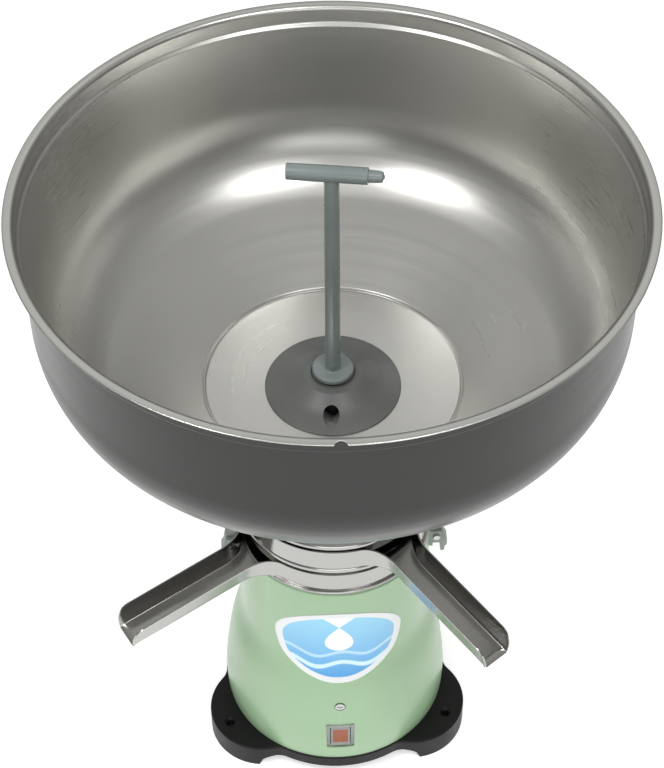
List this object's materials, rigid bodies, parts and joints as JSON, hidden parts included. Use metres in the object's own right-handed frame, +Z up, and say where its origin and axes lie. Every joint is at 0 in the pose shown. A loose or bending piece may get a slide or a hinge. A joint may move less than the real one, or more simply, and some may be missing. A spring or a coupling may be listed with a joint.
{
  "type": "cream separator",
  "caption": "Electric table cream separator: milk bowl with tap, float chamber, two receivers with open spouts, spinning disc drum and motor base.",
  "frame": {"origin": "on the drum's axis, level with the table, at the centre of the three table screw holes", "axes": "+Z up along the drum's axis, -Y to the front with the switch, +X to the right"},
  "size_m": [0.374, 0.374, 0.5047],
  "materials": {
    "black_plastic": "satin moulded",
    "steel_fastener": "zinc plated",
    "green_enamel": "satin gloss enamel",
    "badge": "gloss printed film",
    "grey_plastic": "satin moulded",
    "rocker_plastic": "clear smoked",
    "lens": "clear tinted",
    "black_rubber": "matt",
    "white_plastic": "moulded",
    "machined_steel": "ground",
    "cast_aluminium": "die cast",
    "lamination": "laminated sheet",
    "copper_wire": "enamelled copper",
    "brass_parts": "pressed",
    "carbon": "pressed carbon",
    "drum_aluminium": "turned",
    "polished_steel": "polished sheet",
    "satin_steel": "satin spun",
    "dark_grey_plastic": "moulded",
    "blue_grey_plastic": "satin moulded"
  },
  "bodies": {
    "housing": {"base_plate": "black_plastic", "base_screws": "steel_fastener", "motor_housing": "green_enamel", "badge_plate": "badge", "front_screw": "steel_fastener", "switch_frame": "grey_plastic", "cable_gland": "black_rubber", "terminal_block": "white_plastic", "latch_bracket_right": "grey_plastic", "latch_bracket_left": "grey_plastic", "latch_pin_right": "steel_fastener", "latch_pin_left": "steel_fastener", "lower_bearing": "machined_steel", "upper_bearing": "machined_steel", "lower_bracket": "cast_aluminium", "upper_bracket": "cast_aluminium", "stator_core": "lamination", "field_coils": "copper_wire", "brush_holders": "brass_parts", "carbon_brushes": "carbon", "motor_bolts": "steel_fastener", "rubber_mounts": "black_rubber", "mount_screws": "steel_fastener", "spindle_seal": "black_rubber", "skim_gasket": "black_rubber"},
    "rotor": {"motor_shaft": "machined_steel", "rotor_core": "lamination", "rotor_windings": "copper_wire", "commutator": "copper_wire", "cooling_fan": "black_plastic", "drum_base": "drum_aluminium", "disc_holder": "drum_aluminium", "disc_stack": "drum_aluminium", "separating_disc": "drum_aluminium", "drum_cover": "drum_aluminium", "drum_seal": "black_rubber", "drum_nut": "machined_steel"},
    "cream_screw": {"cream_screw": "machined_steel"},
    "skim_receiver": {"skim_receiver": "polished_steel"},
    "cream_receiver": {"cream_receiver": "polished_steel"},
    "float_chamber": {"float_chamber": "polished_steel"},
    "milk_float": {"milk_float": "white_plastic", "float_pad": "black_rubber"},
    "bowl": {"milk_bowl": "satin_steel", "tap_seat": "dark_grey_plastic", "tap_nut": "dark_grey_plastic", "tap_seal": "black_rubber"},
    "tap": {"tap_handle": "blue_grey_plastic", "plug_rings": "black_rubber"},
    "rocker": {"switch_rocker": "rocker_plastic", "switch_lens": "lens"},
    "latch_right": {"latch_lever_right": "grey_plastic"},
    "latch_left": {"latch_lever_left": "grey_plastic"}
  },
  "joints": [
    {"name": "drum_spin", "type": "hinge", "parent": "housing", "child": "rotor", "pos_m": [0, 0, 0.1], "axis": [0, 0, 1], "continuous": true},
    {"name": "cream_screw_turn", "type": "hinge", "parent": "rotor", "child": "cream_screw", "pos_m": [0, 0.016, 0.2282], "axis": [0, 1, 0], "range_deg": [-180, 180]},
    {"name": "skim_receiver_turn", "type": "hinge", "parent": "housing", "child": "skim_receiver", "pos_m": [0, 0, 0.2], "axis": [0, 0, 1], "range_deg": [-2, 110]},
    {"name": "cream_receiver_turn", "type": "hinge", "parent": "housing", "child": "cream_receiver", "pos_m": [0, 0, 0.225], "axis": [0, 0, 1], "continuous": true},
    {"name": "float_chamber_lift", "type": "slide", "parent": "housing", "child": "float_chamber", "axis": [0, 0, 1], "range_m": [0, 0.08]},
    {"name": "float_rise", "type": "slide", "parent": "float_chamber", "child": "milk_float", "axis": [0, 0, 1], "range_m": [0, 0.011]},
    {"name": "bowl_lift", "type": "slide", "parent": "float_chamber", "child": "bowl", "axis": [0, 0, 1], "range_m": [0, 0.12]},
    {"name": "tap_turn", "type": "hinge", "parent": "bowl", "child": "tap", "pos_m": [0, 0, 0.33], "axis": [0, 0, 1], "continuous": true},
    {"name": "rocker_tilt", "type": "hinge", "parent": "housing", "child": "rocker", "pos_m": [0, -0.072, 0.046], "axis": [1, 0, 0], "range_deg": [0, 18]},
    {"name": "latch_right_swing", "type": "hinge", "parent": "housing", "child": "latch_right", "pos_m": [0.0695, 0, 0.178], "axis": [0, 1, 0], "range_deg": [0, 16]},
    {"name": "latch_left_swing", "type": "hinge", "parent": "housing", "child": "latch_left", "pos_m": [-0.0695, 0, 0.178], "axis": [0, -1, 0], "range_deg": [0, 16]}
  ]
}
